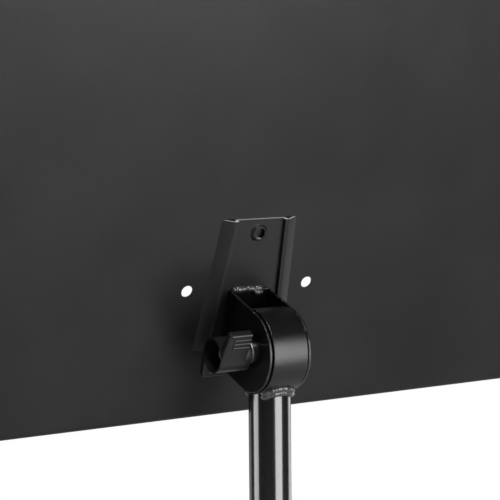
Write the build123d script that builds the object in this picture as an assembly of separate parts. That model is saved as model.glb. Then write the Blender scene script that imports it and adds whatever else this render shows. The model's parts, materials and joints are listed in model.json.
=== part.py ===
from build123d import *
import math
import os

# A free-standing music stand: a sheet-steel desk with a bottom ledge, a tilt
# hinge clamped by a wing knob, a telescoping mast and a three-legged base.
# Millimetres. Origin on the floor under the mast, +Z up, the player at -Y,
# the back of the desk at +Y, the tilt knob at +X.

# ---- driving dimensions ------------------------------------------------------
pivot_height = 1020.0      # tilt axis above the floor with the mast half out
mast_out = 380.0           # tilt axis to the mouth of the post
tilt = 19.3                # lean of the desk from vertical, top towards +Y

desk_width = 500.0
desk_above = 277.0         # desk edge above the tilt axis, along the desk
desk_below = 63.0          # desk edge below the tilt axis, along the desk
desk_sheet = 1.2
desk_corner = 22.0
edge_roll_radius = 2.0     # rolled safety edge round the sides and the top
ledge_depth = 55.0
ledge_lip = 12.0
ledge_bend = 3.0           # inside radius of the folds along the ledge
side_hole_radius = 3.75
side_hole_spacing = 82.6
side_hole_up = 24.9

bracket_top = 69.5         # along the desk, from the tilt axis
bracket_bottom = -14.6
bracket_top_width = 50.8
bracket_bottom_width = 63.3
bracket_sheet = 1.2
ridge_width = 10.2
ridge_height = 3.7         # crest above the desk
ridge_crest = 2.8          # flat on top of each ridge
ridge_inner_run = 0.6      # width of the ridge's steep inner side
emboss_radius = 5.6        # raised boss near the bracket's top
emboss_rim_radius = 4.0
emboss_height = 1.7
emboss_hole_radius = 3.4
emboss_up = 60.8

ear_margin = 0.7           # the ears are this much smaller than the barrel
ear_sheet = 1.6
web_gap = 6.2              # between the barrel and the yoke's web
weld_leg = 1.8             # height and width of the bead under the barrel
yoke_weld_leg = 1.1

barrel_radius = 25.0
barrel_wall = 2.5
barrel_inset = 1.1         # the barrel's half length is less than the mast's radius
bolt_radius = 4.0
bolt_head_radius = 9.0
bolt_head_height = 4.2

friction_radius = 20.0     # fibre washers beside the barrel
friction_thickness = 0.8
bush_length = 8.0

washer_radius = 6.8
washer_thickness = 1.4
knob_length = 22.8
knob_pocket_wall = 2.9     # plastic outside the corners of the nut
knob_wall = 1.0
knob_cup_depth = 10.4      # open end of the knob's hub
knob_neck_radius = 7.2
knob_neck_length = 0.8
knob_flare = 1.8           # from the neck out to the hub
wing_length = 10.9         # wing tip beyond the hub
wing_heel = 0.5            # the wing's flat goes this far past the axis
wing_width = 16.4          # along the knob's axis
wing_from = 6.2            # start of the wing from the knob's base
wing_thickness = 4.6
wing_taper = 1.5           # the wing is narrower at its tip by this
wing_set_in = 0.2          # face of the wing below the hub's edge
wing_corner = 1.6
wing_edge = 1.0            # rounding along the wing's tip
wing_turn = 30.0           # lean of the upper wing from vertical
grip_ribs = 4
grip_pitch = 2.7
grip_length = 10.6
grip_rib_radius = 0.75
tip_bead_radius = 1.2      # thicker rib along the wing's tip

mast_radius = 12.5
mast_wall = 1.5
mast_length = 643.0        # below the tilt axis
post_wall = 2.0
sleeve_wall = 1.4
sleeve_length = 60.0
sleeve_slit = 1.5
collar_wall = 5.0
collar_height = 40.0
boss_wall = 4.5            # round the shoe's pocket
boss_length = 18.0         # beyond the post
shoe_length = 4.4
shoe_travel = 2.2          # room for the shoe to back off
rivet_radius = 2.0
height_knob_gap = 2.5      # between the boss and the height knob

hub_wall = 20.0            # beyond the post
hub_cover = 12.0           # above and below the legs' sockets
hub_floor = 6.0            # under the post
leg_count = 3
leg_radius = 10.0
leg_wall = 1.5
leg_reach = 285.0
leg_root = 82.0            # height of the leg where it enters the hub
leg_end_gap = 2.0          # inner end of the leg from the post
leg_straight = 78.0        # where the leg starts to slope down
leg_landing = 225.0        # where the leg levels out again
leg_bend = 45.0
foot_wall = 3.0
foot_length = 44.0
leg_bolt_radius = 3.0

running_clearance = 0.05   # radial, shaft in a bore that turns or slides
slip_clearance = 0.1       # piece dropped into a hole or beside a face
bolt_clearance = 0.2       # radial, bolt in a plain hole

# ---- places worked out from them ---------------------------------------------
sin_tilt, cos_tilt = math.sin(math.radians(tilt)), math.cos(math.radians(tilt))
desk_plane = Plane(                       # x across, y up the desk, z behind it
    origin=(0, 0, pivot_height), x_dir=(-1, 0, 0), z_dir=(0, cos_tilt, -sin_tilt)
)
hinge_plane = Plane(                      # z along the tilt axis to the knob
    origin=(0, 0, pivot_height), x_dir=(0, 1, 0), z_dir=(1, 0, 0)
)

barrel_half = mast_radius - barrel_inset
ear_radius = barrel_radius - ear_margin
ear_inner = barrel_half + slip_clearance + friction_thickness
ear_outer = ear_inner + ear_sheet
yoke_back = -barrel_radius - web_gap      # the barrel's side of the yoke's web
web_back = yoke_back - ear_sheet          # where yoke and bracket touch
desk_back = web_back - bracket_sheet      # where bracket and desk touch

bore_radius = bolt_radius + running_clearance
nut_across_flats, nut_thickness = 3.25 * bolt_radius, 1.625 * bolt_radius
knob_hub_radius = nut_across_flats / math.sqrt(3) + knob_pocket_wall
wing_reach = knob_hub_radius + wing_length
knob_base = ear_outer + washer_thickness + slip_clearance
bolt_end = knob_base + knob_length - 6.0

sleeve_bore = mast_radius + running_clearance
sleeve_radius = sleeve_bore + sleeve_wall
post_bore = sleeve_radius + running_clearance
post_radius = post_bore + post_wall
post_top = pivot_height - mast_out
collar_radius = post_radius + collar_wall
clamp_height = post_top - collar_height / 2
clamp_plane = Plane(                      # z along the height knob's stud
    origin=(0, 0, clamp_height), x_dir=(-1, 0, 0), z_dir=(0, 1, 0)
)
stud_radius = bolt_radius                 # both clamps use the same knob
dog_radius = stud_radius - 1.5            # stud's tip, held in the shoe
shoe_radius = stud_radius + 1.0
shoe_tip = sleeve_radius + slip_clearance
shoe_back = shoe_tip + shoe_length
boss_radius = shoe_radius + boss_wall
boss_reach = post_radius + boss_length
height_knob_base = boss_reach + height_knob_gap

hub_radius = post_radius + hub_wall
hub_bottom = leg_root - leg_radius - hub_cover
hub_top = leg_root + leg_radius + hub_cover
post_bottom = hub_bottom + hub_floor
leg_start = post_radius + leg_end_gap
leg_bolt_out = (leg_start + hub_radius) / 2
leg_bolt_top = leg_root + leg_radius + hub_cover / 2
leg_end_height = leg_radius + foot_wall - 0.5
leg_angles = [-90.0 + i * 360.0 / leg_count for i in range(leg_count)]


def rod(radius, start, end):
    """Cylinder along local Z between two heights."""
    return Pos(0, 0, (start + end) / 2) * Cylinder(radius, end - start)


def ring(outer, inner, start, end):
    """Tube along local Z between two heights."""
    return rod(outer, start, end) - rod(inner, start - 1, end + 1)


def slab(x0, x1, y0, y1, z0, z1):
    """Box between two corners."""
    centre = ((x0 + x1) / 2, (y0 + y1) / 2, (z0 + z1) / 2)
    return Pos(*centre) * Box(x1 - x0, y1 - y0, z1 - z0)


def hexagon(across_flats, start, end):
    """Hexagonal bar along local Z between two heights."""
    face = RegularPolygon(across_flats / math.sqrt(3), 6)
    return Pos(0, 0, start) * extrude(face, end - start)


# ---- desk ----------------------------------------------------------------------
def desk_panel():
    """Sheet desk folded forward into a ledge with a lip; rolled side and top edges."""
    half = desk_width / 2
    back = desk_back
    front = back - desk_sheet
    fold = 3 * ledge_bend
    # plate with round top corners, down to the start of the folded strip
    outline = slab(-half, half, -desk_below + fold, desk_above, front, back)
    top_edges = outline.edges().filter_by(Axis.Z).sort_by(Axis.Y)[-2:]
    plate = fillet(top_edges, desk_corner)
    # ledge and lip as one folded strip, drawn in the side view
    side = Plane(origin=(-half, 0, 0), x_dir=(0, 1, 0), z_dir=(1, 0, 0))
    low, lip_front = -desk_below, front - ledge_depth
    centre_line = FilletPolyline(
        (low + fold, back - desk_sheet / 2),
        (low + desk_sheet / 2, back - desk_sheet / 2),
        (low + desk_sheet / 2, lip_front + desk_sheet / 2),
        (low + ledge_lip, lip_front + desk_sheet / 2),
        radius=ledge_bend + desk_sheet / 2,
    )
    strip = side * trace(centre_line, line_width=desk_sheet)
    ledge = extrude(strip, desk_width, dir=(1, 0, 0))
    body = plate + ledge
    # rolled edge: a round bead that stands forward of the sheet
    roll_z = front + desk_sheet / 2 - edge_roll_radius + 0.2
    path = FilletPolyline(
        (-half, low + 18, roll_z),
        (-half, desk_above, roll_z),
        (half, desk_above, roll_z),
        (half, low + 18, roll_z),
        radius=desk_corner,
    )
    start = Plane(origin=path @ 0, z_dir=path % 0)
    body = body + sweep(start * Circle(edge_roll_radius), path)
    for x in (-side_hole_spacing / 2, side_hole_spacing / 2):
        body -= Pos(x, side_hole_up, 0) * rod(side_hole_radius, front - 1, back + 1)
    return desk_plane * body


def ridge_outline(width):
    """Bracket section across the desk: a flat web between two raised ridges."""
    outer, floor = width / 2, desk_back
    crest, web = floor + ridge_height, floor + bracket_sheet
    inner = outer - ridge_width
    slope_run = ridge_width - ridge_inner_run - ridge_crest
    foot = bracket_sheet * math.hypot(ridge_height, slope_run) / ridge_height
    peak = foot + (ridge_height - bracket_sheet) * slope_run / ridge_height
    half = [
        (inner, web),
        (inner + ridge_inner_run, crest),
        (inner + ridge_inner_run + ridge_crest, crest),
        (outer, floor),
        (outer - foot, floor),
        (outer - peak, crest - bracket_sheet),
        (inner + bracket_sheet, floor),
    ]
    return half + [(-x, z) for x, z in reversed(half)]


def desk_bracket():
    """Pressed bracket on the desk's back: tapered, ridged edges, boss with a hole."""
    sections = []
    for up, width in ((bracket_bottom, bracket_bottom_width), (bracket_top, bracket_top_width)):
        level = Plane(origin=(0, up, 0), x_dir=(1, 0, 0), z_dir=(0, -1, 0))
        points = [level.from_local_coords((x, z)) for x, z in ridge_outline(width)]
        sections.append(make_face(Polyline(*points, close=True)))
    body = loft(sections, ruled=True)
    boss_middle = desk_back + bracket_sheet + emboss_height / 2
    body += Pos(0, emboss_up, boss_middle) * Cone(emboss_radius, emboss_rim_radius, emboss_height)
    hole = rod(emboss_hole_radius, desk_back - 1, web_back + emboss_height + 1)
    return desk_plane * (body - Pos(0, emboss_up, 0) * hole)


# ---- tilt hinge ----------------------------------------------------------------
def hinge_yoke():
    """Folded U: a web on the bracket and two round-ended ears."""
    block = slab(-ear_outer, ear_outer, -ear_radius, ear_radius, web_back, 0)
    block += Plane.YZ * rod(ear_radius, -ear_outer, ear_outer)
    folds = block.edges().filter_by(Axis.Y).sort_by(Axis.Z)[:2]
    block = fillet(folds, ear_sheet + 0.8)
    hollow = slab(-ear_inner, ear_inner, -50, 50, yoke_back, 50)
    inner_folds = hollow.edges().filter_by(Axis.Y).sort_by(Axis.Z)[:2]
    body = block - fillet(inner_folds, 0.8)
    # round hole in the knob-side ear, square one that keys the bolt in the other
    body -= Plane.YZ * rod(bolt_radius + slip_clearance, -ear_outer - 1, 0)
    square = bolt_radius + slip_clearance
    body -= slab(0, ear_outer + 1, -square, square, -square, square)
    return desk_plane * body


def yoke_weld():
    """Weld beads along the yoke web's upper edge and the bracket's lower edge."""
    half = ear_inner - 3
    upper = Pos(0, ear_radius, web_back) * (Plane.YZ * rod(yoke_weld_leg, -half, half))
    upper &= slab(-half, half, ear_radius, ear_radius + 5, web_back, 0)
    lower = Pos(0, bracket_bottom, web_back) * (Plane.YZ * rod(yoke_weld_leg, -half, half))
    lower &= slab(-half, half, bracket_bottom - 5, bracket_bottom, desk_back, web_back)
    return desk_plane * Compound(children=[upper, lower])


def clamp_bolt():
    """Domed bolt with a square neck, from the far ear through the knob."""
    ball = (bolt_head_radius**2 + bolt_head_height**2) / (2 * bolt_head_height)
    dome = Pos(0, 0, ball - ear_outer - bolt_head_height) * Sphere(ball)
    dome &= rod(ball, -ear_outer - bolt_head_height - 1, -ear_outer)
    square = bolt_radius
    neck = slab(-square, square, -square, square, -ear_outer, -ear_inner)
    shank = chamfer(rod(bolt_radius, -ear_outer, bolt_end).edges().sort_by(Axis.Z)[-1], 0.8)
    return hinge_plane * Rot(0, 0, -tilt) * (dome + neck + shank)


def friction_washer(side):
    """Thin fibre washer between the barrel and one ear."""
    faces = sorted((side * ear_inner, side * (barrel_half + slip_clearance)))
    return hinge_plane * ring(friction_radius, bolt_radius + slip_clearance, *faces)


def tilt_barrel():
    """Short steel tube welded across the top of the mast."""
    return hinge_plane * ring(barrel_radius, barrel_radius - barrel_wall, -barrel_half, barrel_half)


def barrel_bush(side):
    """Moulded plug in one end of the barrel that carries the bolt."""
    faces = sorted((side * barrel_half, side * (barrel_half - bush_length)))
    return hinge_plane * ring(barrel_radius - barrel_wall, bore_radius, *faces)


def barrel_weld():
    """Weld bead round the joint of barrel and mast."""
    bead = ring(mast_radius + weld_leg, mast_radius, pivot_height - barrel_radius - 6, pivot_height)
    return bead & (hinge_plane * ring(barrel_radius + weld_leg, barrel_radius, -barrel_half, barrel_half))


# ---- wing knob -----------------------------------------------------------------
def knob_wing():
    """One wing: a flat plate beside the hub, with ribs across both faces near its tip."""
    outer = knob_hub_radius - wing_set_in
    inner = outer - wing_thickness
    end = wing_from + wing_width
    profile = Plane.YZ * make_face(Polyline(
        (-wing_heel, wing_from),
        (wing_reach, wing_from),
        (wing_reach, end - wing_taper),
        (knob_hub_radius, end),
        (-wing_heel, end),
        close=True,
    ))
    blade = Pos(inner, 0, 0) * extrude(profile, wing_thickness, dir=(1, 0, 0))
    blade = fillet(blade.edges().filter_by(Axis.X).sort_by(Axis.Y)[-2:], wing_corner)
    blade = fillet(blade.edges().group_by(Axis.Y)[-1].filter_by(Axis.Z), wing_edge)
    first, start = wing_reach - wing_edge, wing_from + wing_edge
    tip_bead = rod(tip_bead_radius, start, end - wing_taper - wing_edge)
    blade += Pos(outer - tip_bead_radius / 2, first, 0) * tip_bead
    for i in range(1, grip_ribs):
        for face in (inner, outer):
            rib = rod(grip_rib_radius, start, start + grip_length)
            blade += Pos(face, first - i * grip_pitch, 0) * rib
    return blade


def knob_body():
    """Moulded knob: necked hollow hub between two offset wings."""
    cup = knob_length - knob_cup_depth
    hub_start = knob_neck_length + knob_flare
    body = rod(knob_neck_radius, 0, knob_neck_length) + rod(knob_hub_radius, hub_start, knob_length)
    flare_middle = (knob_neck_length + hub_start) / 2
    body += Pos(0, 0, flare_middle) * Cone(knob_neck_radius, knob_hub_radius, knob_flare)
    lean = Rot(0, 0, -wing_turn)
    body += lean * knob_wing() + lean * Rot(0, 0, 180) * knob_wing()
    body -= rod(knob_hub_radius - knob_wall, cup, knob_length + 1)
    body -= rod(bolt_radius + bolt_clearance, -1, cup)
    body -= hexagon(nut_across_flats + 2 * slip_clearance, cup - nut_thickness, cup + 0.5)
    return body


def knob_nut():
    """Steel nut seated in the knob's hexagonal pocket."""
    top = knob_length - knob_cup_depth
    nut = hexagon(nut_across_flats, top - nut_thickness, top)
    return nut - rod(bore_radius, 0, knob_length)


# ---- mast and clamp ------------------------------------------------------------
def upper_tube():
    """Sliding tube of the mast, coped to the barrel."""
    tube = ring(mast_radius, mast_radius - mast_wall, pivot_height - mast_length, pivot_height)
    return tube - hinge_plane * rod(barrel_radius, -2 * mast_radius, 2 * mast_radius)


def tube_foot_bush():
    """Moulded foot in the lower end of the mast that slides in the post."""
    end = pivot_height - mast_length
    flange = rod(post_bore - slip_clearance, end - 3, end)
    return flange + rod(mast_radius - mast_wall, end, end + 15)


def guide_sleeve():
    """Split liner in the mouth of the post; it turns with the mast."""
    sleeve = ring(sleeve_radius, sleeve_bore, post_top - sleeve_length, post_top + slip_clearance)
    sleeve += ring(post_radius + 1.5, sleeve_bore, post_top + slip_clearance, post_top + 2.2)
    half = sleeve_slit / 2
    slit = slab(-half, half, -post_radius - 3, 0, post_top - sleeve_length - 1, post_top + 3)
    return sleeve - slit


def rivet_holes():
    """Cross drilling of collar and post for the two rivets."""
    reach = collar_radius + 1
    return Pos(0, 0, clamp_height) * (Plane.YZ * rod(rivet_radius + slip_clearance, -reach, reach))


def lower_tube():
    """Fixed post of the stand, with a hole for the clamp's shoe."""
    tube = ring(post_radius, post_bore, post_bottom, post_top)
    tube -= clamp_plane * rod(shoe_radius + slip_clearance, 0, post_radius + 1)
    return tube - rivet_holes()


def height_collar():
    """Cast collar on the post's mouth with a threaded boss for the clamp."""
    low = post_top - collar_height
    shell = rod(collar_radius, low, post_top)
    shell = fillet(shell.edges().filter_by(GeomType.CIRCLE), 1.5)
    body = shell + clamp_plane * rod(boss_radius, post_radius / 2, boss_reach)
    body -= rod(post_radius, low - 1, post_top + 1)
    body -= clamp_plane * rod(stud_radius + running_clearance, 0, boss_reach + 1)
    body -= clamp_plane * rod(shoe_radius + slip_clearance, 0, shoe_back + shoe_travel)
    return body - rivet_holes()


def collar_rivets():
    """Two rivets that pin the collar to the post."""
    rivets = []
    for side in (-1, 1):
        start = side * (post_bore + 0.2)
        faces = sorted((start, side * collar_radius))
        head = sorted((side * collar_radius, side * (collar_radius + 1.4)))
        rivet = rod(rivet_radius, *faces) + rod(2 * rivet_radius, *head)
        rivets.append(Pos(0, 0, clamp_height) * (Plane.YZ * rivet))
    return Compound(children=rivets)


def clamp_shoe():
    """Brass shoe held on the stud's tip, which presses the sleeve on the mast."""
    shoe = rod(shoe_radius, shoe_tip, shoe_back)
    return clamp_plane * (shoe - rod(dog_radius + running_clearance, shoe_back - 2.2, shoe_back + 1))


def height_stud():
    """Threaded stud fixed in the height knob."""
    end = height_knob_base + knob_length - 6.0
    stud = rod(stud_radius, shoe_back + slip_clearance, end)
    return clamp_plane * (stud + rod(dog_radius, shoe_back - 2.0, shoe_back + slip_clearance))


# ---- base ----------------------------------------------------------------------
def at_leg(angle):
    """Frame with local X pointing out along one leg."""
    return Rot(0, 0, angle)


def base_hub():
    """Cast hub with a blind bore for the post and a socket for each leg."""
    hub = rod(hub_radius, hub_bottom, hub_top)
    rims = hub.edges().filter_by(GeomType.CIRCLE).sort_by(Axis.Z)
    hub = fillet(rims[-1], 6.0)
    hub = fillet(hub.edges().filter_by(GeomType.CIRCLE).sort_by(Axis.Z)[0], 2.0)
    hub += ring(post_radius + 5, post_radius - 1, hub_top - 6, hub_top + 12)
    hub -= rod(post_radius, post_bottom, hub_top + 20)
    for angle in leg_angles:
        socket = Pos(0, 0, leg_root) * (Plane.YZ * rod(leg_radius, leg_start, hub_radius + 5))
        bolt = Pos(leg_bolt_out, 0, 0) * rod(leg_bolt_radius, hub_bottom - 1, leg_bolt_top)
        hub -= at_leg(angle) * (socket + bolt)
    return hub


def leg(angle):
    """Bent tube leg: level out of the hub, down a slope and level at the foot."""
    path = FilletPolyline(
        (leg_start, 0, leg_root),
        (leg_straight, 0, leg_root),
        (leg_landing, 0, leg_end_height),
        (leg_reach, 0, leg_end_height),
        radius=leg_bend,
    )
    start = Plane(origin=path @ 0, z_dir=path % 0)
    tube = sweep(start * Circle(leg_radius), path)
    tube -= sweep(start * Circle(leg_radius - leg_wall), path)
    tube -= Pos(leg_bolt_out, 0, 0) * rod(leg_bolt_radius + slip_clearance, 0, hub_top)
    return at_leg(angle) * tube


def foot(angle):
    """Rubber foot pushed over the leg's end, flat where it stands."""
    end = leg_reach + foot_wall
    boot = rod(leg_radius + foot_wall, end - foot_length, end)
    boot = fillet(boot.edges().filter_by(GeomType.CIRCLE).sort_by(Axis.Z)[-1], 4.0)
    boot -= rod(leg_radius, end - foot_length - 1, leg_reach)
    boot = Pos(0, 0, leg_end_height) * (Plane.YZ * boot)
    tall = 4 * leg_radius
    return at_leg(angle) * (boot & slab(0, 2 * end, -tall, tall, 0, tall))


def leg_bolts():
    """One bolt up through the hub and each leg."""
    bolts = []
    for angle in leg_angles:
        bolt = rod(leg_bolt_radius, hub_bottom, leg_bolt_top)
        bolt += hexagon(10.0, hub_bottom - 4.0, hub_bottom)
        bolts.append(at_leg(angle) * Pos(leg_bolt_out, 0, 0) * bolt)
    return Compound(children=bolts)


# ---- the nodes -----------------------------------------------------------------
tilt_knob_place = hinge_plane * Pos(0, 0, knob_base)
height_knob_place = clamp_plane * Pos(0, 0, height_knob_base)
nodes = {
    "desk_panel": desk_panel(),
    "desk_bracket": desk_bracket(),
    "hinge_yoke": hinge_yoke(),
    "yoke_weld": yoke_weld(),
    "clamp_bolt": clamp_bolt(),
    "friction_washer_knob_side": friction_washer(1),
    "friction_washer_head_side": friction_washer(-1),
    "tilt_barrel": tilt_barrel(),
    "barrel_bush_knob_side": barrel_bush(1),
    "barrel_bush_head_side": barrel_bush(-1),
    "barrel_weld": barrel_weld(),
    "knob_washer": hinge_plane * ring(
        washer_radius, bolt_radius + bolt_clearance, ear_outer, ear_outer + washer_thickness
    ),
    "tilt_knob": tilt_knob_place * knob_body(),
    "tilt_knob_nut": tilt_knob_place * knob_nut(),
    "upper_tube": upper_tube(),
    "tube_foot_bush": tube_foot_bush(),
    "guide_sleeve": guide_sleeve(),
    "lower_tube": lower_tube(),
    "height_collar": height_collar(),
    "collar_rivets": collar_rivets(),
    "clamp_shoe": clamp_shoe(),
    "height_stud": height_stud(),
    "height_knob": height_knob_place * knob_body(),
    "height_knob_nut": height_knob_place * knob_nut(),
    "base_hub": base_hub(),
    "leg_bolts": leg_bolts(),
}
for name, angle in zip(("front", "left", "right"), leg_angles):
    nodes["leg_" + name] = leg(angle)
    nodes["foot_" + name] = foot(angle)

os.makedirs("parts", exist_ok=True)
for name, shape in nodes.items():
    export_step(shape, f"parts/{name}.step")
print(len(nodes), "nodes written")
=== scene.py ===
# %% [markdown]
# A music stand, seen from behind: a sheet-steel desk on a clamped tilt hinge, a
# sliding mast and a three-legged base. The frame holds every part at its real
# size, so the work here is finish, small surface detail, light and camera.

# %% Load the frame
import json
import math

import bmesh
import bpy
from mathutils import Matrix, Vector


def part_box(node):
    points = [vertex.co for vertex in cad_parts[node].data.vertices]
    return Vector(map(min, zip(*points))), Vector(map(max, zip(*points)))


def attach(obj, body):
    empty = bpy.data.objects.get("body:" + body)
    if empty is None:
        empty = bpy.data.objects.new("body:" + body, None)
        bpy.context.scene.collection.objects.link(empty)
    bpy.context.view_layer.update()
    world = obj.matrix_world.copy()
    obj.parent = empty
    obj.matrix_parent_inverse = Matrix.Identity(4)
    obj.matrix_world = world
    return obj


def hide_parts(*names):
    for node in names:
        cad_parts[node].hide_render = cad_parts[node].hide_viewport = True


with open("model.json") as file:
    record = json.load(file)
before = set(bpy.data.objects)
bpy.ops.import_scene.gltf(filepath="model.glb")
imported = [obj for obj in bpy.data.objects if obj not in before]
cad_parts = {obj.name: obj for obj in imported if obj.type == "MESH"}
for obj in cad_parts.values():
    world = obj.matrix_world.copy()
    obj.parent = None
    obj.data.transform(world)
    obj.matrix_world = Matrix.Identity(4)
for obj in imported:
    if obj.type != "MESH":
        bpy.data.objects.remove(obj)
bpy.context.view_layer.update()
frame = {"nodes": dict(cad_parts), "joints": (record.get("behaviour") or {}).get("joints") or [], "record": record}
nodes = frame["nodes"]
joints = {joint["name"]: joint for joint in frame["joints"]}
pivot = Vector(joints["desk_tilt"]["pos_m"])
scene = bpy.context.scene
MM = 0.001
print(len(nodes), "nodes, tilt axis at", tuple(round(v, 4) for v in pivot))

# %% [markdown]
# Shader maths reads best as plain sums. A Value wraps one output socket, so that
# "grain * 0.2 + 0.4" adds the Math nodes by itself. A Finish owns the tree, and
# its one method makes every other kind of node: type, settings, then sockets.


# %% Shader tools
class Value:
    """A node's output socket that takes part in sums."""

    def __init__(self, finish, node, output=0):
        self.finish, self.node = finish, node
        self.socket = node.outputs[output] if node.outputs else None

    def out(self, name):
        return Value(self.finish, self.node, name)

    def _sum(self, operation, *terms):
        return self.finish.add("ShaderNodeMath", {"operation": operation}, list(terms))

    def __add__(self, other):
        return self._sum("ADD", self, other)

    def __sub__(self, other):
        return self._sum("SUBTRACT", self, other)

    def __rsub__(self, other):
        return self._sum("SUBTRACT", other, self)

    def __mul__(self, other):
        return self._sum("MULTIPLY", self, other)

    __radd__, __rmul__ = __add__, __mul__

    def above(self, low, high):
        """0 below low, 1 above high and smooth between them."""
        settings = {"interpolation_type": "SMOOTHSTEP"}
        return self.finish.add("ShaderNodeMapRange", settings, {
            "Value": self, "From Min": low, "From Max": high,
        })


class Finish:
    """A material whose nodes all come from one method."""

    def __init__(self, name):
        self.material = bpy.data.materials.new(name)
        self.material.use_nodes = True
        self.tree = self.material.node_tree
        self.tree.nodes.clear()
        self.place = self.add("ShaderNodeTexCoord").out("Object")

    def add(self, kind, settings=None, sockets=None):
        node = self.tree.nodes.new(kind)
        for key, value in (settings or {}).items():
            setattr(node, key, value)
        pairs = sockets.items() if isinstance(sockets, dict) else enumerate(sockets or [])
        for key, value in pairs:
            if isinstance(value, Value):
                self.tree.links.new(value.socket, node.inputs[key])
            else:
                node.inputs[key].default_value = value
        return Value(self, node)

    def noise(self, size, detail=2.0, roughness=0.5, stretch=None):
        """Cloudy pattern whose lumps are about size millimetres across."""
        where = self.place
        if stretch:
            where = self.add("ShaderNodeMapping", None, {
                "Vector": where, "Scale": stretch,
            })
        return self.add("ShaderNodeTexNoise", {"normalize": True}, {
            "Vector": where, "Scale": 1 / (size * MM),
            "Detail": detail, "Roughness": roughness,
        })

    def cells(self, size):
        """Pebbled pattern: distance to the nearest of scattered points."""
        return self.add("ShaderNodeTexVoronoi", {"feature": "F1"}, {
            "Vector": self.place, "Scale": 1 / (size * MM),
        })

    def tint(self, mask, dark, light):
        """Colour that goes from dark to light as the mask goes from 0 to 1."""
        ends = {6: dark, 7: light}
        for key, shade in ends.items():
            if not isinstance(shade, Value):
                ends[key] = (*shade, 1)
        return self.add("ShaderNodeMix", {"data_type": "RGBA"}, {0: mask, **ends}).out(2)

    def worn(self, size):
        """1 in the patches of a rounded edge where the coat is rubbed through."""
        edge = self.add("ShaderNodeAttribute", {"attribute_name": "edge"}).out("Fac")
        return edge * self.noise(size, detail=3.0).above(0.52, 0.74)

    def bump(self, height, depth, below=None):
        """Surface relief: depth is the height of the pattern in millimetres."""
        sockets = {"Height": height, "Distance": depth * MM, "Strength": 1.0}
        if below:
            sockets["Normal"] = below
        return self.add("ShaderNodeBump", None, sockets)

    def surface(self, **sockets):
        """The finished shader; socket names use _ for a space."""
        named = {key.replace("_", " "): value for key, value in sockets.items()}
        shader = self.add("ShaderNodeBsdfPrincipled", None, named)
        self.add("ShaderNodeOutputMaterial", None, {"Surface": shader})
        return self.material


print("shader tools ready")

# %% [markdown]
# The desk and bracket wear a fine-texture black powder coat. The real coat is
# sprayed dust that melts, so it has two scales: soft waves a few millimetres
# wide, and a close grain. Dust and handling lift the colour a little in clouds.


# %% Powder coats
def powder_coat(name, dark, light, roughness, grain_depth, index):
    finish = Finish(name)
    grain = finish.noise(0.45, detail=3.0, roughness=0.6)
    waves = finish.noise(3.5, detail=1.0)
    dust = finish.noise(60.0, detail=4.0)
    rubbed = finish.worn(2.2)
    relief = finish.bump(waves, 0.05)
    relief = finish.bump(grain, grain_depth, relief)
    coat = finish.tint(dust.above(0.3, 0.75), dark, light)
    return finish.surface(
        Base_Color=finish.tint(rubbed, coat, (0.06, 0.06, 0.062)),
        Roughness=roughness + grain * 0.10 + dust * 0.08 + rubbed * 0.06,
        IOR=index,
        Normal=relief,
    )


desk_powder = powder_coat(
    "desk_powder", (0.0045, 0.0045, 0.005), (0.0075, 0.0075, 0.008), 0.26, 0.045, 1.27,
)
hinge_powder = powder_coat(
    "hinge_powder", (0.002, 0.002, 0.0022), (0.0035, 0.0035, 0.004), 0.11, 0.10, 1.38,
)
print("powder coats:", desk_powder.name, hinge_powder.name)

# %% [markdown]
# The sliding tube is drawn steel under gloss enamel, so its highlights are long
# sharp stripes. A faint vertical wipe and a few fine scuffs keep it from looking
# like glass.


# %% Gloss enamel
def gloss_enamel(name):
    finish = Finish(name)
    wipe = finish.noise(6.0, detail=3.0, stretch=(1, 1, 0.03))
    scuffs = finish.noise(0.8, detail=2.0, stretch=(1, 1, 0.08)).above(0.66, 0.8)
    haze = finish.noise(25.0, detail=2.0)
    relief = finish.bump(finish.noise(4.0, detail=1.0), 0.012)
    return finish.surface(
        Base_Color=finish.tint(haze, (0.003, 0.003, 0.0035), (0.006, 0.006, 0.007)),
        Roughness=0.13 + wipe * 0.10 + scuffs * 0.12,
        Coat_Weight=0.35 - scuffs * 0.3,
        Coat_Roughness=0.08,
        Normal=relief,
    )


tube_gloss = gloss_enamel("tube_gloss")
print("gloss enamel:", tube_gloss.name)

# %% [markdown]
# Moulded nylon comes out of a spark-eroded tool with a very fine matt grain.
# Fingers polish the high spots, so roughness falls where the grain is highest.


# %% Moulded plastics and rubber
def moulded(name, dark, light, roughness, grain_size, grain_depth, index=1.45):
    finish = Finish(name)
    grain = finish.noise(grain_size, detail=2.0, roughness=0.6)
    flow = finish.noise(9.0, detail=3.0)
    return finish.surface(
        Base_Color=finish.tint(flow.above(0.25, 0.8), dark, light),
        Roughness=roughness + flow * 0.12 - grain * 0.08,
        IOR=index,
        Normal=finish.bump(grain, grain_depth),
    )


knob_plastic = moulded(
    "knob_plastic", (0.004, 0.004, 0.0045), (0.006, 0.006, 0.0065),
    0.30, 0.35, 0.02, index=1.34,
)
nylon_black = moulded(
    "nylon_black", (0.012, 0.012, 0.013), (0.020, 0.020, 0.021), 0.38, 0.5, 0.015,
)
fibre_washer_finish = moulded(
    "fibre_washer", (0.012, 0.011, 0.010), (0.03, 0.027, 0.024), 0.7, 0.25, 0.03,
)
foot_rubber = moulded(
    "foot_rubber", (0.014, 0.014, 0.014), (0.026, 0.026, 0.025), 0.62, 0.8, 0.04,
)
print("mouldings:", knob_plastic.name, nylon_black.name, foot_rubber.name)

# %% [markdown]
# Bare metal: zinc plating is bright but cloudy, brass is warm and turned. Both
# are full metals, with fine turning lines made by stretching noise.


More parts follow.
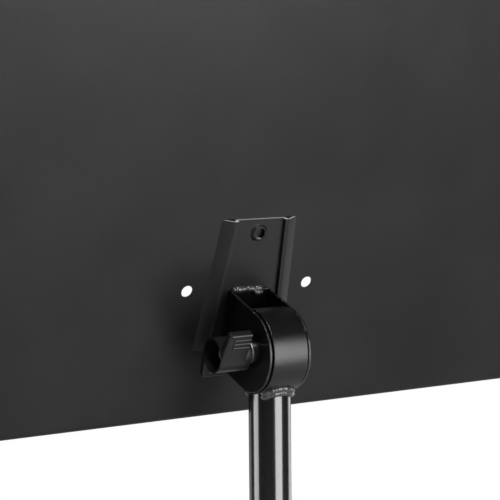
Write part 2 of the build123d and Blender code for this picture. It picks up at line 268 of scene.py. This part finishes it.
# %% Metals
def bare_metal(name, dark, light, roughness):
    finish = Finish(name)
    cloud = finish.noise(5.0, detail=4.0, roughness=0.65)
    lines = finish.noise(0.5, detail=2.0, stretch=(0.15, 1, 1))
    return finish.surface(
        Base_Color=finish.tint(cloud, dark, light),
        Metallic=1.0,
        Roughness=roughness + cloud * 0.16 + lines * 0.08,
        Normal=finish.bump(lines, 0.01),
    )


def casting(name):
    """Painted sand casting: pebbled skin under satin black."""
    finish = Finish(name)
    pebbles = finish.cells(1.6)
    fine = finish.noise(0.7, detail=2.0)
    relief = finish.bump(fine, 0.05, finish.bump(pebbles, 0.10))
    return finish.surface(
        Base_Color=finish.tint(
            fine.above(0.35, 0.7), (0.012, 0.012, 0.013), (0.022, 0.022, 0.023),
        ),
        Roughness=0.34 + pebbles * 0.12,
        Normal=relief,
    )


def painted_weld(name):
    """Weld bead under paint: glossier than the sheet, with drips and pits."""
    finish = Finish(name)
    pits = finish.noise(0.9, detail=3.0)
    return finish.surface(
        Base_Color=finish.tint(pits, (0.010, 0.010, 0.011), (0.030, 0.030, 0.032)),
        Roughness=0.16 + pits * 0.18,
        Normal=finish.bump(pits, 0.06),
    )


cut_steel = bare_metal("cut_steel", (0.55, 0.55, 0.55), (0.80, 0.80, 0.79), 0.42)
zinc_steel = bare_metal("zinc_steel", (0.26, 0.26, 0.27), (0.42, 0.42, 0.42), 0.30)
brass = bare_metal("brass", (0.55, 0.38, 0.14), (0.72, 0.53, 0.24), 0.24)
cast_black = casting("cast_black")
weld_metal = painted_weld("weld_metal")
print("metals:", cut_steel.name, zinc_steel.name, brass.name, cast_black.name)

# %% [markdown]
# Each node keeps its CAD mesh and takes its finish by the record's slot name.

# %% Hand out the finishes
finishes = {
    "desk_powder": desk_powder,
    "hinge_powder": hinge_powder,
    "tube_gloss": tube_gloss,
    "weld_metal": weld_metal,
    "zinc_steel": zinc_steel,
    "knob_plastic": knob_plastic,
    "fibre_washer": fibre_washer_finish,
    "nylon_black": nylon_black,
    "cast_black": cast_black,
    "brass": brass,
    "foot_rubber": foot_rubber,
}
for subpart in frame["record"]["subparts"]:
    mesh = nodes[subpart["node"]].data
    mesh.materials.clear()
    mesh.materials.append(finishes[subpart["material_slot"]])

# %% [markdown]
# Real sheet metal has no knife edges: a press leaves them slightly round and the
# paint rounds them more, and that thin round is what shines. The CAD solids are
# sharp, so each piece close to the eye is copied, its loose triangles are joined
# into whole faces again, and its edges are bevelled. Bevelling in bmesh, rather
# than with a modifier, tells which faces are new, so they can be marked in an
# attribute that the paint reads to wear thin there.


# %% Round the edges of the pieces near the hinge
slot_of_node = {
    subpart["node"]: subpart["material_slot"] for subpart in frame["record"]["subparts"]
}
body_of_node = {
    node: body
    for body, members in frame["record"]["behaviour"]["bodies"].items()
    for node in members
}


same_point = 0.002 * MM
same_plane = math.radians(0.4)
bevel_above = math.radians(30)
crease_above = math.radians(50)


def whole_faces(node):
    """Bmesh of a node with its triangles joined into whole flat faces."""
    shape = bmesh.new()
    shape.from_mesh(nodes[node].data)
    bmesh.ops.remove_doubles(shape, verts=shape.verts, dist=same_point)
    bmesh.ops.dissolve_limit(
        shape, angle_limit=same_plane, verts=shape.verts, edges=shape.edges,
    )
    return shape


def edges_above(shape, angle):
    """Edges between two faces that meet at more than an angle."""
    return [
        edge for edge in shape.edges
        if len(edge.link_faces) == 2 and edge.calc_face_angle() > angle
    ]


def plain_mesh(item):
    """The mesh that an object's modifiers make."""
    return bpy.data.meshes.new_from_object(
        item.evaluated_get(bpy.context.evaluated_depsgraph_get())
    )


def even_shading(item):
    """Bake area-weighted normals into the mesh, so that flat faces look flat."""
    weighted = item.modifiers.new("even_shading", "WEIGHTED_NORMAL")
    weighted.keep_sharp = True
    plain = plain_mesh(item)
    item.modifiers.clear()
    item.data = plain


def add_piece(name, mesh, body, slot, *stands_for):
    """Link a finished mesh, ride it on its body and hide the nodes it stands for."""
    item = bpy.data.objects.new(name, mesh)
    scene.collection.objects.link(item)
    if not mesh.materials:
        mesh.materials.append(finishes[slot])
    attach(item, body)
    if stands_for:
        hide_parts(*stands_for)
    return item


def rounded(node, radius):
    """Copy of a node whose sharp edges get a small round."""
    shape = whole_faces(node)
    worn = shape.faces.layers.float.new("edge")
    edges = edges_above(shape, bevel_above)
    made = bmesh.ops.bevel(
        shape, geom=edges, offset=radius * MM, offset_type="OFFSET", segments=2,
        profile=0.5, affect="EDGES", clamp_overlap=True,
    )
    for face in shape.faces:
        face.smooth = True
    for edge in edges_above(shape, crease_above):
        edge.smooth = False
    for face in made["faces"]:
        face[worn] = 1.0
    mesh = bpy.data.meshes.new(node + "_rounded")
    shape.to_mesh(mesh)
    shape.free()
    if "custom_normal" in mesh.attributes:
        mesh.attributes.remove(mesh.attributes["custom_normal"])
    item = add_piece(
        node + "_rounded", mesh, body_of_node[node], slot_of_node[node], node,
    )
    even_shading(item)
    print(node, "edges rounded:", len(edges), "faces now:", len(item.data.polygons))
    return item


rounding = {
    "hinge_yoke": 0.40,
    "desk_bracket": 0.30,
    "tilt_barrel": 0.45,
    "knob_washer": 0.30,
    "tilt_knob": 0.35,
    "height_knob": 0.35,
    "height_collar": 0.50,
    "clamp_bolt": 0.30,
}
rounded_pieces = {node: rounded(node, radius) for node, radius in rounding.items()}

# %% [markdown]
# The bracket is cropped from coated strip, so its two cut ends are bare bright
# steel, which is why they flash white against the black. They are found by the
# way they face: along the desk, not away from it.


# %% Bare cut ends of the bracket
tilt = -math.radians(next(
    joint for joint in frame["record"]["behaviour"]["joints"] if joint["name"] == "desk_tilt"
)["range_deg"][0])
across = Vector((-1, 0, 0))
up_desk = Vector((0, math.sin(tilt), math.cos(tilt)))
off_desk = Vector((0, math.cos(tilt), -math.sin(tilt)))
bracket = rounded_pieces["desk_bracket"].data
bracket.materials.append(cut_steel)
square_on = 0.93
for face in bracket.polygons:
    if abs(face.normal.dot(up_desk)) > square_on:
        face.material_index = 1
print("cut faces:", sum(face.material_index for face in bracket.polygons))

# %% [markdown]
# A weld is a row of small puddles, each frozen over the edge of the one before.
# Geometry Nodes lays them: the path becomes a curve, the curve is cut into equal
# steps, and an uneven drop goes on every step. A voxel remesh then melts the
# drops into one closed bead, and a little smoothing rounds the seams between.


# %% Weld bead tree
def add_input(tree, label, value):
    kind = "NodeSocketInt" if isinstance(value, int) else "NodeSocketFloat"
    tree.interface.new_socket(label, in_out="INPUT", socket_type=kind).default_value = value


def weld_tree(material):
    tree = bpy.data.node_groups.new("weld_bead", "GeometryNodeTree")
    tree.interface.new_socket("Path", in_out="INPUT", socket_type="NodeSocketGeometry")
    add_input(tree, "Step", 1.1 * MM)
    add_input(tree, "Drop radius", 1.5 * MM)
    add_input(tree, "Unevenness", 0.25)
    add_input(tree, "Seed", 1)
    tree.interface.new_socket("Bead", in_out="OUTPUT", socket_type="NodeSocketGeometry")

    def add(kind, settings=None, links=None):
        node = tree.nodes.new(kind)
        for key, value in (settings or {}).items():
            setattr(node, key, value)
        for key, value in (links or {}).items():
            if isinstance(value, bpy.types.NodeSocket):
                tree.links.new(value, node.inputs[key])
            else:
                node.inputs[key].default_value = value
        return node

    given = add("NodeGroupInput").outputs
    line = add("GeometryNodeMeshToCurve", None, {"Mesh": given["Path"]}).outputs["Curve"]
    steps = add("GeometryNodeResampleCurve", {"mode": "LENGTH"}, {
        "Curve": line, "Length": given["Step"],
    }).outputs["Curve"]
    tangent = add("GeometryNodeInputTangent").outputs["Tangent"]
    along = add("FunctionNodeAlignRotationToVector", {"axis": "X"}, {
        "Vector": tangent,
    }).outputs[0]
    least = add("ShaderNodeMath", {"operation": "SUBTRACT"}, {0: 1.0, 1: given["Unevenness"]})
    most = add("ShaderNodeMath", {"operation": "ADD"}, {0: 1.0, 1: given["Unevenness"]})
    size = add("FunctionNodeRandomValue", {"data_type": "FLOAT"}, {
        2: least.outputs[0], 3: most.outputs[0], "Seed": given["Seed"],
    }).outputs[1]
    radius = add("ShaderNodeMath", {"operation": "MULTIPLY"}, {
        0: size, 1: given["Drop radius"],
    })
    drop = add("GeometryNodeMeshIcoSphere", None, {"Radius": 1.0, "Subdivisions": 3})
    drops = add("GeometryNodeInstanceOnPoints", None, {
        "Points": steps, "Instance": drop.outputs["Mesh"],
        "Rotation": along, "Scale": radius.outputs[0],
    }).outputs["Instances"]
    solid = add("GeometryNodeRealizeInstances", None, {"Geometry": drops}).outputs["Geometry"]
    finished = add("GeometryNodeSetMaterial", None, {"Geometry": solid, "Material": material})
    add("NodeGroupOutput", None, {"Bead": finished.outputs["Geometry"]})
    return tree


weld_beads = weld_tree(weld_metal)
print("weld tree:", len(weld_beads.nodes), "nodes")

# %% [markdown]
# Each pass is a list of points. The passes of one weld go in one mesh, so that
# they melt together.


# %% Lay the weld beads
melt_voxel = 0.22 * MM
ease_factor, ease_rounds = 0.5, 14
step_per_radius = 0.75


def lay_weld(name, node, passes, drop_radius, unevenness, seed):
    """Bead along each pass, in millimetres, that stands for a CAD weld."""
    path = bpy.data.meshes.new(name + "_path")
    points = [Vector(point) * MM for line in passes for point in line]
    links, first = [], 0
    for line in passes:
        links += [(first + i, first + i + 1) for i in range(len(line) - 1)]
        first += len(line)
    path.from_pydata(points, links, [])
    draft = bpy.data.objects.new(name + "_draft", path)
    scene.collection.objects.link(draft)
    laid = draft.modifiers.new("bead", "NODES")
    laid.node_group = weld_beads
    inputs = {"Step": step_per_radius * drop_radius * MM, "Drop radius": drop_radius * MM,
              "Unevenness": unevenness, "Seed": seed}
    for socket in weld_beads.interface.items_tree:
        if socket.name in inputs:
            laid[socket.identifier] = inputs[socket.name]
    melted = draft.modifiers.new("melt", "REMESH")
    melted.mode, melted.voxel_size = "VOXEL", melt_voxel
    melted.use_smooth_shade = True
    eased = draft.modifiers.new("ease", "SMOOTH")
    eased.factor, eased.iterations = ease_factor, ease_rounds
    mesh = plain_mesh(draft)
    bpy.data.objects.remove(draft)
    mesh.materials.clear()
    print(name, "triangles:", sum(len(face.vertices) - 2 for face in mesh.polygons))
    return add_piece(name, mesh, body_of_node[node], "weld_metal", node)


def mm_box(node):
    low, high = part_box(node)
    return Vector(low) / MM, Vector(high) / MM


barrel_low, barrel_high = mm_box("tilt_barrel")
mast_low, mast_high = mm_box("upper_tube")
barrel_radius = (barrel_high.z - barrel_low.z) / 2
mast_radius = (mast_high.x - mast_low.x) / 2
axis_height = pivot.z / MM


saddle_steps = 32
saddle_reach = math.acos(0.70)
saddle_passes = ((1.2, 0.2), (0.5, 2.4))


def saddle(out, down, side):
    """Line round one side of the mast where it meets the barrel."""
    line = []
    radius = mast_radius + out
    for i in range(saddle_steps + 1):
        share = i / saddle_steps
        turn = side * (saddle_reach + (math.pi - 2 * saddle_reach) * share)
        x, y = radius * math.cos(turn), radius * math.sin(turn)
        line.append((x, y, axis_height - math.sqrt(barrel_radius**2 - y**2) - down))
    return line


barrel_passes = [
    saddle(out, down, side) for side in (1, -1) for out, down in saddle_passes
]
lay_weld("barrel_bead", "barrel_weld", barrel_passes, 2.1, 0.16, 5)


def on_desk(x, v, n):
    """Point given across the desk, up the desk and off its back, in millimetres."""
    return pivot / MM + across * x + up_desk * v + off_desk * n


ear_inset = 0.7
yoke_foot = -15.0
ear_radius = barrel_radius - ear_inset
web = min(
    rounded_pieces["hinge_yoke"].data.vertices, key=lambda point: point.co.dot(off_desk),
).co
web_back = (web - pivot).dot(off_desk) / MM
lay_weld("yoke_bead", "yoke_weld", [
    [on_desk(x, ear_radius + 0.4, web_back + 0.8) for x in (-10.5, -3, 4, 8)],
    [on_desk(x, ear_radius - 1.2, web_back + 3.0) for x in (3.5, 5.5, 7)],
    [on_desk(x, yoke_foot, web_back - 0.6) for x in (-9, 0, 9)],
], 1.6, 0.30, 11)

# %% [markdown]
# The set is a white room: a dome that only the camera sees, and a round pale
# floor that takes the shadows and melts into the dome at its rim.


# %% Set
def stage_material(name, paint_grey=None):
    """White glow, or grey paint that melts into the glow away from the middle."""
    finish = Finish(name)
    shader = finish.add("ShaderNodeEmission", None, {
        "Color": (1, 1, 1, 1), "Strength": 1.0,
    })
    if paint_grey:
        paint = finish.add("ShaderNodeBsdfPrincipled", None, {
            "Base Color": (paint_grey, paint_grey, paint_grey, 1), "Roughness": 0.6,
        })
        away = finish.add("ShaderNodeVectorMath", {"operation": "LENGTH"}, [
            finish.place,
        ]).out("Value")
        shader = finish.add("ShaderNodeMixShader", None, [
            away.above(1.2, 2.9), paint, shader,
        ])
    finish.add("ShaderNodeOutputMaterial", None, {"Surface": shader})
    return finish.material


def stage_object(name, build, material):
    mesh = bpy.data.meshes.new(name)
    shape = bmesh.new()
    build(shape)
    shape.to_mesh(mesh)
    shape.free()
    mesh.materials.append(material)
    item = bpy.data.objects.new(name, mesh)
    scene.collection.objects.link(item)
    return item


floor_radius, dome_radius = 3.0, 40.0
stage_object("floor", lambda shape: bmesh.ops.create_circle(
    shape, cap_ends=True, segments=128, radius=floor_radius,
), stage_material("floor_paint", 0.56))
dome = stage_object("dome", lambda shape: bmesh.ops.create_uvsphere(
    shape, u_segments=48, v_segments=24, radius=dome_radius,
), stage_material("dome_white"))
for ray in ("diffuse", "glossy", "transmission", "volume_scatter", "shadow"):
    setattr(dome, "visible_" + ray, False)
print("floor radius", floor_radius, "m, dome radius", dome_radius, "m")

# %% [markdown]
# Black gloss shows only what it reflects, so each softbox is placed by the
# highlight it has to make: one behind the camera's right for the barrel and the
# tube's right stripe, one far to the left for the tube's left stripe, a wall of
# light far to the right for the right-hand slopes, and a strong one overhead,
# level with the plane of the desk, that picks out only what faces upward.


# %% Light
def softbox(name, azimuth, elevation, distance, width, height, power):
    """Area light that faces the hinge; azimuth goes from +Y towards +X."""
    turn, lift = math.radians(azimuth), math.radians(elevation)
    away = Vector((
        math.sin(turn) * math.cos(lift), math.cos(turn) * math.cos(lift), math.sin(lift),
    ))
    lamp = bpy.data.lights.new(name, "AREA")
    lamp.shape, lamp.size, lamp.size_y, lamp.energy = "RECTANGLE", width, height, power
    item = bpy.data.objects.new(name, lamp)
    item.location = pivot + away * distance
    item.rotation_euler = away.to_track_quat("Z", "Y").to_euler()
    item.visible_camera = False
    scene.collection.objects.link(item)
    print(name, power, "W")


softbox("softbox_right", -18, 0, 2.0, 1.4, 1.7, 76)
softbox("softbox_left", 112, 5, 2.2, 1.3, 2.2, 60)
softbox("softbox_far_right", -104, -20, 2.4, 1.3, 1.4, 14)
softbox("softbox_behind", 172, -16, 2.6, 1.2, 1.4, 3)
softbox("softbox_top", 18, 63, 1.6, 0.5, 0.4, 30)
world = bpy.data.worlds.new("room")
world.use_nodes = True
world.node_tree.nodes["Background"].inputs["Color"].default_value = (0.04, 0.04, 0.04, 1)
scene.world = world
scene.view_settings.view_transform = "Standard"

# %% [markdown]
# The camera stands behind the desk, a little above the hinge and close to it,
# with a long lens.

# %% Camera
azimuth, elevation, distance = math.radians(31.02), math.radians(9.16), 0.93856
yaw, pitch, roll = math.radians(0.66), math.radians(3.58), math.radians(0.57)
back = Vector((
    math.sin(azimuth) * math.cos(elevation),
    math.cos(azimuth) * math.cos(elevation),
    math.sin(elevation),
))
forward = Matrix.Rotation(yaw, 3, "Z") @ -back
right = (Matrix.Rotation(yaw, 3, "Z") @ (-back).cross(Vector((0, 0, 1)))).normalized()
forward = Matrix.Rotation(pitch, 3, right) @ forward
right = Matrix.Rotation(roll, 3, forward) @ right
up = right.cross(forward)
lens = bpy.data.cameras.new("camera")
lens.sensor_width, lens.lens = 36.0, 114.8
camera = bpy.data.objects.new("camera", lens)
camera.matrix_world = Matrix((right, up, -forward)).transposed().to_4x4()
camera.location = pivot + back * distance
scene.collection.objects.link(camera)
scene.camera = camera
print("lens", lens.lens, "mm at", distance, "m")
